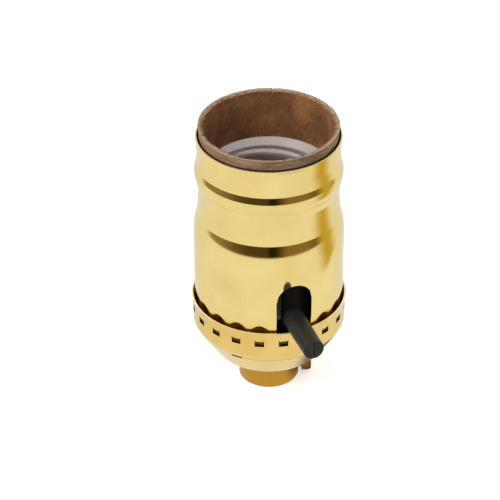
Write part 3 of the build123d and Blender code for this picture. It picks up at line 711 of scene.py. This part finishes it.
def make_screw_shell(material):
    """The rolled thread: inside radius = middle + half depth times the sum of the phase's sine and
    a little of the sine of twice the phase, which makes one flank steeper. The phase is height over
    pitch less the turn, so the thread is right-handed. It fades in above the floor. The mouth is a
    cone of 45 degrees, and the wall takes the greater of the two radii, blended over a soft
    edge."""
    columns = 160
    angle = np.arange(columns)[None, :] * 360 / columns
    middle = (THREAD_MINOR + THREAD_MAJOR) / 2
    floor = fillet_line(
        [(SCREW_HOLE_R, SCREW_FLOOR), (middle, SCREW_FLOOR), (middle, THREAD_FOOT - 0.2)],
        [SCREW_FLOOR_BEND], 0.8,
    )
    wall_z = np.concatenate([
        np.linspace(THREAD_FOOT, THREAD_FINE, 50, endpoint=False),
        np.linspace(THREAD_FINE, FLANGE_LOW, 62),
    ])
    z = wall_z[:, None]
    phase = 2 * pi * (z / THREAD_PITCH - angle / 360 + THREAD_START)
    half_depth = (THREAD_MAJOR - THREAD_MINOR) / 2
    fade = np.clip((z - THREAD_FOOT) / THREAD_FADE, 0, 1)
    thread = middle + fade * half_depth * (np.sin(phase) + THREAD_SKEW * np.sin(2 * phase))
    cone = FLANGE[0] - (FLANGE[1] - z)
    soft = 0.3
    mix = np.clip(0.5 + 0.5 * (cone - thread) / soft, 0, 1)
    r = thread * (1 - mix) + cone * mix + soft * mix * (1 - mix)
    top = fillet_line(
        [(FLANGE[0] - 0.05, FLANGE_LOW), FLANGE, (FLANGE_EDGE_R, FLANGE[1])], [0.02], 0.1
    )[1:]
    r = np.concatenate([
        np.repeat(floor[:, :1], columns, axis=1), r, np.repeat(top[:, :1], columns, axis=1)
    ])
    z = np.concatenate([floor[:, 1], wall_z, top[:, 1]])[:, None]
    screw = piece("screw_shell_rolled", [patch(around(r, z, angle), wrap=True)], material)
    thicken(screw, SCREW_WALL)
    round_edges(screw, SCREW_EDGE, angle=60)
    dress(screw, "socket", "screw_shell")


def make_cap(*materials):
    """The drawn cap: its outline turned round Z, with a scribed crease where dome meets drum, a
    short slit on that crease, and windows whose upper edges are bent inwards as nibs."""
    line = fillet_line(CAP_LINE, CAP_BENDS, 0.5)
    flat = line[:, 1] < CAP_LINE[0][1] + 1e-6
    across_crease = np.array([-0.3, -SLIT_HALF, -0.08, 0.0, 0.08, SLIT_HALF, 0.3])
    heights = np.concatenate([CREASE_Z + across_crease, [WINDOW_LOW, WINDOW_HIGH]])
    side = with_rows(line[~flat], heights)
    line = np.concatenate([line[flat], side])
    r, z = np.hsplit(line, 2)
    half = np.degrees(np.arcsin(WINDOW_HALF / CAP_R))
    nib = np.degrees(np.arcsin(NIB_HALF / CAP_R))
    # The grid's columns by each window, in degrees from the window's middle
    offsets = np.array([-7.2, -5.4, -half, -nib, -nib / 2, 0, nib / 2, nib, half, 5.4, 7.2, 9.0])
    sector = np.arange(WINDOWS)[:, None] * 360 / WINDOWS + WINDOW_START
    angle = (sector + offsets[None, :]).ravel()
    folded = (angle + 180) % 360 - 180
    # The crease wavers round the cap by a product of two sine waves, and has one gap
    waver = np.sin(np.radians(3 * folded + 20)) * np.sin(np.radians(7 * folded))
    gap = np.exp(-(((folded - CREASE_GAP) / CREASE_GAP_HALF) ** 2))
    strength = np.clip(0.75 + 0.5 * waver, 0, 1) * (1 - gap) * (folded > CREASE_FROM)
    r = r - scribed(z, CREASE_Z, CREASE_HALF, CREASE_DEPTH) * strength[None, :]
    points = around(r, z, angle[None, :])
    row_mid = (line[:-1, 1] + line[1:, 1]) / 2
    window_rows = (row_mid > WINDOW_LOW) & (row_mid < WINDOW_HIGH)
    window_columns = np.tile((offsets >= -half) & (offsets < half), WINDOWS)
    slit_rows = np.abs(row_mid - CREASE_Z) < SLIT_HALF
    slit_columns = (folded > SLIT[0]) & (folded < SLIT[1])
    keep = ~(np.outer(window_rows, window_columns) | np.outer(slit_rows, slit_columns))
    patches = [patch(points, wrap=True, keep=keep)]
    across = np.array([-nib, -nib / 2, 0, nib / 2, nib])
    down = np.linspace(0, 1, 5)[:, None]
    top_r = np.interp(WINDOW_HIGH, line[:, 1], line[:, 0])
    for centre in sector[:, 0]:
        r_nib = top_r + down**NIB_CURVE * (NIB_TIP[0] - top_r)
        z_nib = WINDOW_HIGH + down * (NIB_TIP[1] - WINDOW_HIGH)
        patches.append(patch(around(r_nib, z_nib, centre + across[None, :])[::-1]))
    cap = piece("cap_drawn", patches, *materials)
    thicken(cap, CAP_WALL, material_offset=INSIDE)
    # Painted shade on the nibs, down in the windows
    finish(cap, lambda r, z: (z > WINDOW_LOW) & (z < NIB_SHADE) & (r < NIB_SHADE_R), PAINTED_SHADE)
    # A painted highlight on the lip's cut edge
    finish(cap, lambda r, z: z > CAP_LINE[-1][1] - CUT_HIGH, CUT)
    round_edges(cap, CAP_EDGE)
    dress(cap, "socket", "cap")


def make_bushing(material):
    """A turned ring. Its bore carries the pipe thread: radius = bore + half the depth + the depth
    times a triangle wave from -1/2 to 1/2, whose phase is height over pitch less the turn."""
    columns = 120
    rows = 90
    angle = np.arange(columns)[None, :] * 360 / columns
    cap_inside = BUSHING_SHOULDER + CAP_WALL
    outside = fillet_line(
        [(BUSHING_MOUTH_R, 0.0), (BUSHING_R, 0.0), (BUSHING_R, BUSHING_SHOULDER),
         (BUSHING_NECK_R, BUSHING_SHOULDER), (BUSHING_NECK_R, cap_inside), (SWAGE_R, cap_inside),
         (SWAGE_R - SWAGE_SLANT, SWAGE_Z), (BORE_MOUTH_R, SWAGE_Z)],
        BUSHING_BENDS, 0.8,
    )
    z = np.linspace(SWAGE_Z, PIPE_DEPTH, rows)
    bore = np.column_stack([np.full(rows, BORE_R + PIPE_DEPTH / 2), z])
    line = np.concatenate([outside, bore, outside[:1]])
    r, z = np.hsplit(line, 2)
    phase = z / PIPE_PITCH - angle / 360
    wave = 2 * np.abs(phase % 1 - 0.5) - 0.5
    is_bore = np.zeros((len(line), 1))
    is_bore[len(outside) : -1] = 1
    r = r + is_bore * PIPE_DEPTH * wave
    ring = piece("bushing_turned", [patch(around(r, z, angle)[::-1], wrap=True)], material)
    ring.data.set_sharp_from_angle(angle=radians(50))
    dress(ring, "socket", "bushing")


def make_push_rod(material):
    """A rod round its own axis along Y: its radius follows the outline, with a rounded end. The
    two halves of its mould met in the plane x = 0, and left a fine groove over the end."""
    columns = 160
    turn = np.arange(columns)[None, :] * 2 * pi / columns
    tip_y, tip_r = ROD_LINE[0]
    base_y, base_r = ROD_LINE[1]
    rear_y = ROD_LINE[2][0]
    collar_from, collar_to, collar_r = ROD_COLLAR
    line = fillet_line(
        [(tip_y, ROD_CENTRE_R), (tip_y, tip_r), (base_y, base_r), (collar_from, base_r),
         (collar_from, collar_r), (collar_to, collar_r), (collar_to, base_r), (rear_y, base_r),
         (rear_y, ROD_CENTRE_R)],
        ROD_BENDS, 0.4,
    )
    y, r = np.hsplit(line, 2)
    x = r * np.cos(turn)
    at_end = np.clip((tip_y + SEAM_LENGTH - y) / SEAM_LENGTH, 0, 1)
    y = y + at_end * SEAM_DEPTH * np.exp(-((x / SEAM_HALF) ** 2))
    points = np.stack(np.broadcast_arrays(x, y, ROD_Z + r * np.sin(turn)), axis=-1)
    rod = piece("push_rod_moulded", [patch(points, wrap=True)], material)

    def close(b):
        bmesh.ops.holes_fill(b, edges=[e for e in b.edges if e.is_boundary], sides=0)
        bmesh.ops.recalc_face_normals(b, faces=b.faces[:])

    edit(rod, close)
    rod.data.set_sharp_from_angle(angle=radians(60))
    dress(rod, "switch_rod", "push_rod")


def studio():
    """A white room. Shiny metal sees a drawn surround instead: white below and behind, where
    it is a little dimmer, brighter overhead, and on the camera's side, round the horizon, a dark
    band, nearly black in its middle and warm brown towards both ends."""
    world = bpy.data.worlds.new("studio")
    bpy.context.scene.world = world
    world.use_nodes = True
    tree = world.node_tree
    tree.nodes.clear()
    way = add_node(tree, "ShaderNodeTexCoord").outputs["Generated"]
    turned = add_node(
        tree, "ShaderNodeVectorRotate", {"Vector": way}, {"Angle": radians(-VIEW_TURN)},
        rotation_type="Z_AXIS",
    )
    split = add_node(tree, "ShaderNodeSeparateXYZ", {"Vector": turned.outputs["Vector"]})
    above = add_node(
        tree, "ShaderNodeMapRange", {"Value": split.outputs["Z"]},
        {"From Min": -0.3, "From Max": -0.24}, interpolation_type="SMOOTHSTEP",
    )
    overhead = add_node(
        tree, "ShaderNodeMapRange", {"Value": split.outputs["Z"]},
        {"From Min": 0.0, "From Max": 0.2, "To Min": 1.0, "To Max": 0.0},
        interpolation_type="SMOOTHSTEP",
    )
    band = add_node(
        tree, "ShaderNodeMath", {0: above.outputs["Result"], 1: overhead.outputs["Result"]},
        operation="MULTIPLY",
    )
    back = add_node(
        tree, "ShaderNodeMath", {0: split.outputs["Y"]}, {1: -1.0}, operation="MULTIPLY"
    )
    bearing = add_node(
        tree, "ShaderNodeMath", {0: split.outputs["X"], 1: back.outputs["Value"]},
        operation="ARCTAN2",
    )
    # The bearing from the camera's side, -180 to 180 degrees, as 0 to 1
    share = add_node(
        tree, "ShaderNodeMapRange", {"Value": bearing.outputs["Value"]},
        {"From Min": -pi, "From Max": pi},
    )
    # The light that comes from the band, by its bearing in degrees
    bearings = [
        (-142, WHITE), (-128, (0.34, 0.30, 0.19, 1)), (-75, (0.31, 0.25, 0.14, 1)),
        (-50, (0.16, 0.11, 0.045, 1)), (-30, (0.09, 0.062, 0.027, 1)), (-2, (0.08, 0.055, 0.02, 1)),
        (2, (0.02, 0.014, 0.006, 1)), (10, (0.03, 0.02, 0.008, 1)), (16, (0.1, 0.062, 0.022, 1)),
        (28, (0.28, 0.18, 0.07, 1)), (55, (0.3, 0.2, 0.08, 1)), (75, (0.18, 0.12, 0.03, 1)),
        (120, (0.3, 0.22, 0.08, 1)), (140, WHITE),
    ]
    shade = add_node(
        tree, "ShaderNodeValToRGB", {"Fac": share.outputs["Result"]},
        stops=[(degrees / 360 + 0.5, colour) for degrees, colour in bearings],
    )
    dim = add_node(
        tree, "ShaderNodeMapRange", {"Value": split.outputs["Y"]},
        {"From Min": 0.3, "From Max": 0.8, "To Min": 1.0, "To Max": 0.84},
    )
    lamps = add_node(
        tree, "ShaderNodeMapRange", {"Value": split.outputs["Z"]},
        {"From Min": 0.25, "From Max": 0.6, "To Min": 1.0, "To Max": 1.3},
    )
    plain_room = add_node(
        tree, "ShaderNodeMath", {0: dim.outputs["Result"], 1: lamps.outputs["Result"]},
        operation="MULTIPLY",
    )
    mirrored = add_node(
        tree, "ShaderNodeMix",
        {"Factor": band.outputs["Value"], "A": plain_room.outputs["Value"],
         "B": shade.outputs["Color"]},
        data_type="RGBA",
    )
    path = add_node(tree, "ShaderNodeLightPath")
    seen = add_node(
        tree, "ShaderNodeBackground", {"Color": mirrored.outputs["Result"]}, {"Strength": 1.0}
    )
    soft = add_node(tree, "ShaderNodeBackground", values={"Color": WHITE, "Strength": 0.5})
    white = add_node(tree, "ShaderNodeBackground", values={"Color": WHITE, "Strength": 1.0})
    glossy = add_node(
        tree, "ShaderNodeMixShader",
        {0: path.outputs["Is Glossy Ray"], 1: soft.outputs["Background"],
         2: seen.outputs["Background"]},
    )
    final = add_node(
        tree, "ShaderNodeMixShader",
        {0: path.outputs["Is Camera Ray"], 1: glossy.outputs["Shader"],
         2: white.outputs["Background"]},
    )
    add_node(tree, "ShaderNodeOutputWorld", {"Surface": final.outputs["Shader"]})


def make_floor():
    """A white sweep: a floor disc that keeps a faint shadow."""
    material, tree, _ = new_material("white_floor")
    diffuse = add_node(tree, "ShaderNodeBsdfDiffuse", values={"Color": (0.9, 0.9, 0.9, 1)})
    glow = add_node(tree, "ShaderNodeEmission", values={"Color": WHITE, "Strength": 0.55})
    both = add_node(
        tree, "ShaderNodeAddShader", {0: diffuse.outputs["BSDF"], 1: glow.outputs["Emission"]}
    )
    path = add_node(tree, "ShaderNodeLightPath")
    lit = add_node(
        tree, "ShaderNodeMixShader",
        {0: path.outputs["Is Camera Ray"], 1: diffuse.outputs["BSDF"], 2: both.outputs["Shader"]},
    )
    add_node(tree, "ShaderNodeOutputMaterial", {"Surface": lit.outputs["Shader"]})
    columns = 96
    clear = 0.01
    angle = np.arange(columns)[None, :] * 360 / columns
    r = np.array([0.001, 40, 120, 400, 1500])[:, None]
    floor = piece("floor", [patch(around(r, 0 * r - clear, angle)[::-1], wrap=True)], material)
    floor.visible_glossy = False


def veiled(name, colour, points, veil):
    """A coloured sheet of this opacity, point by point, that shows only in the socket's metal."""
    material, tree, _ = new_material(name)
    cover = add_node(tree, "ShaderNodeAttribute", attribute_name="veil")
    glow = add_node(tree, "ShaderNodeEmission", values={"Color": colour})
    clear = add_node(tree, "ShaderNodeBsdfTransparent")
    both = add_node(
        tree, "ShaderNodeMixShader",
        {0: cover.outputs["Fac"], 1: clear.outputs["BSDF"], 2: glow.outputs["Emission"]},
    )
    add_node(tree, "ShaderNodeOutputMaterial", {"Surface": both.outputs["Shader"]})
    sheet = piece(name, [patch(points)], material)
    layer = sheet.data.attributes.new("veil", "FLOAT", "POINT")
    layer.data.foreach_set("value", veil.ravel().astype(np.float32))
    sheet.visible_camera = False
    sheet.visible_diffuse = False
    sheet.visible_shadow = False


def smooth(share):
    """A smooth step: 3 t^2 - 2 t^3 of the share, kept between 0 and 1."""
    t = np.clip(share, 0, 1)
    return t * t * (3 - 2 * t)


def outward(bearing):
    """Directions on the floor at this bearing from the camera's side: outwards, and to the left
    of that."""
    turn = radians(VIEW_TURN + bearing)
    return np.array([sin(turn), -cos(turn), 0]), np.array([cos(turn), sin(turn), 0])


def standing_card(name, colour, bearing, distance, width, height, fade, splay):
    """A card that stands beside the socket, its lowest quarter splayed away from the camera. Its
    opacity is the product of smooth steps in from both sides, the foot and the head, each as long
    as fade says."""
    u, v = np.meshgrid(np.linspace(-1, 1, 41), np.linspace(0, 1, 41))
    out, along = outward(bearing)
    up = np.array([0, 0, 1])
    sideways = u * width / 2 + splay * np.clip(1 - v / 0.25, 0, 1)
    points = distance * out + sideways[..., None] * along + (v * height)[..., None] * up
    veil = smooth((1 - np.abs(u)) / fade[0]) * smooth(v / fade[1]) * smooth((1 - v) / fade[2])
    veiled(name, colour, points, veil)


def lying_card(name, colour, bearing, distance, length, width):
    """An oval card on the floor, of this length away from the socket and this width across that.
    It is opaque in the middle and its opacity falls smoothly to 0 over the outer half."""
    u, v = np.meshgrid(np.linspace(-1, 1, 41), np.linspace(-1, 1, 41))
    out, along = outward(bearing)
    points = (distance + u * length / 2)[..., None] * out + (v * width / 2)[..., None] * along
    veiled(name, colour, points, smooth(1.8 * (1 - np.hypot(u, v))))


def lamp(name, place, aim, size, power):
    """A round soft lamp, in metres and watts, that shiny metal doesn't mirror."""
    data = bpy.data.lights.new(name, "AREA")
    data.shape = "DISK"
    data.size = size
    data.energy = power
    obj = bpy.data.objects.new(name, data)
    bpy.context.scene.collection.objects.link(obj)
    obj.location = place
    obj.rotation_euler = (Vector(aim) - Vector(place)).to_track_quat("-Z", "Y").to_euler()
    obj.visible_glossy = False


bpy.context.scene.view_settings.view_transform = "Standard"
camera()
studio()
make_floor()
# A painted reflection: a glowing warm sheet, seen only in the metal, for the warm band down the
# shell's right side
standing_card(
    "warm_reflection_card", (0.66, 0.51, 0.1, 1), bearing=84, distance=66, width=58, height=90,
    fade=(0.95, 0.02, 0.3), splay=12,
)
lying_card("shadow_card", (0.3, 0.24, 0.14, 1), bearing=96, distance=14, length=22, width=26)
lamp("key", (-0.433, -0.09, 0.45), (0, 0, 0.04), 0.35, 2.6)
lamp("fill", (0.3, -0.2, 0.5), (0, 0, 0.04), 0.4, 0.6)

shell_brass = brass("polished_brass_plate", "EED88F", "E6CB80", 0.07, SHELL_LINE_SHADE)
cap_brass = brass("polished_cap_brass", "E9CA7C", "E0BC6A", 0.09, CAP_CREASE_SHADE)
# The inside of both drawn pieces was never polished, so it is dull and brown
unpolished = plain("unpolished_brass", "E0B868", "C89C4C", 0.5, metallic=0.4)
# Painted shade: the lanced nibs and the skirt's foot inside the cap are coloured dark brown for
# the shade in the windows and in the gap under the cap's lip
painted_shade_brass = plain("painted_shade_brass", "634716", "4C350E", 0.5, metallic=0.6)
# The sheet's sheared edge, finely rough, made pale as a painted highlight
edge_painted_highlight = plain("sheared_brass_edge_painted_highlight", "FFF0CC", "F6E2B4", 0.5, metallic=1.0)
# Turned brass, tumbled: a deeper gold with soft, wide highlights
satin = plain(
    "satin_turned_brass", "C8983A", "BA8A30", 0.34, metallic=1.0, grain=0.25, bump_mm=0.01
)
# Machined brass that has dulled in the air, so the screw is browner than the bushing
aged = plain("aged_screw_brass", "A88A52", "86683A", 0.4, metallic=1.0)
board = fibre(
    "vulcanised_fibre_board", "684E3A", "8A6C52", "A08468", "AE9880", along=1.0, rim_shade_strength=0.9
)
# The inside of the same board: redder, and clouded rather than streaked
bore = fibre(
    "vulcanised_fibre_bore", "644028", "7E5637", "9A6C46", "9C8068", along=0.14, rim_shade_strength=0.0
)
# Aluminium sheet, rolled and lightly oxidised, so its highlights are soft; its pinkish tint is a
# painted reflection of the brown liner
aluminium = plain(
    "rolled_aluminium_sheet", "B4A9A4", "AA9E99", 0.2, metallic=0.35, bump_mm=0.005
)
# Phenolic, moulded: matt and near black, a darkness that is partly painted shade, and dark grey and
# glossy for the switch body
phenolic = plain("matt_phenolic_painted_shade", "12110F", "0B0A09", 0.8, shine=0.12)
phenolic_gloss = plain("glossy_phenolic", "2C2A27", "23211F", 0.3)
# Nylon, moulded: near black with a fine grain and a soft sheen
nylon = plain("moulded_black_nylon", "262523", "1C1B19", 0.42, shine=0.25)
# Steel, nickel-plated: a warm bright grey, for the pin, detent spring and one terminal screw
steel = plain("nickel_plated_steel", "B9B6B0", "A09D98", 0.3, metallic=1.0)
# Brass strip, stamped and left as it came: a dull yellow with soft highlights
stamped = plain("stamped_contact_brass", "C9A34E", "A98436", 0.32, metallic=1.0)

make_outer_shell(shell_brass, unpolished, painted_shade_brass, edge_painted_highlight)
make_cap(cap_brass, unpolished, painted_shade_brass, edge_painted_highlight)
make_bushing(satin)
make_fibre_liner(board, bore)
make_screw_shell(aluminium)
make_push_rod(nylon)

finishes = {
    "polished_brass": shell_brass, "satin_brass": satin, "vulcanised_fibre": board,
    "rolled_aluminium": aluminium, "black_phenolic": phenolic, "black_rod": nylon,
    "plated_steel": steel, "contact_brass": stamped,
}
for part in frame["record"]["subparts"]:
    node = frame["nodes"][part["node"]]
    node.data.materials.clear()
    node.data.materials.append(finishes[part["material_slot"]])
frame["nodes"]["switch_body"].data.materials[0] = phenolic_gloss
frame["nodes"]["set_screw"].data.materials[0] = aged
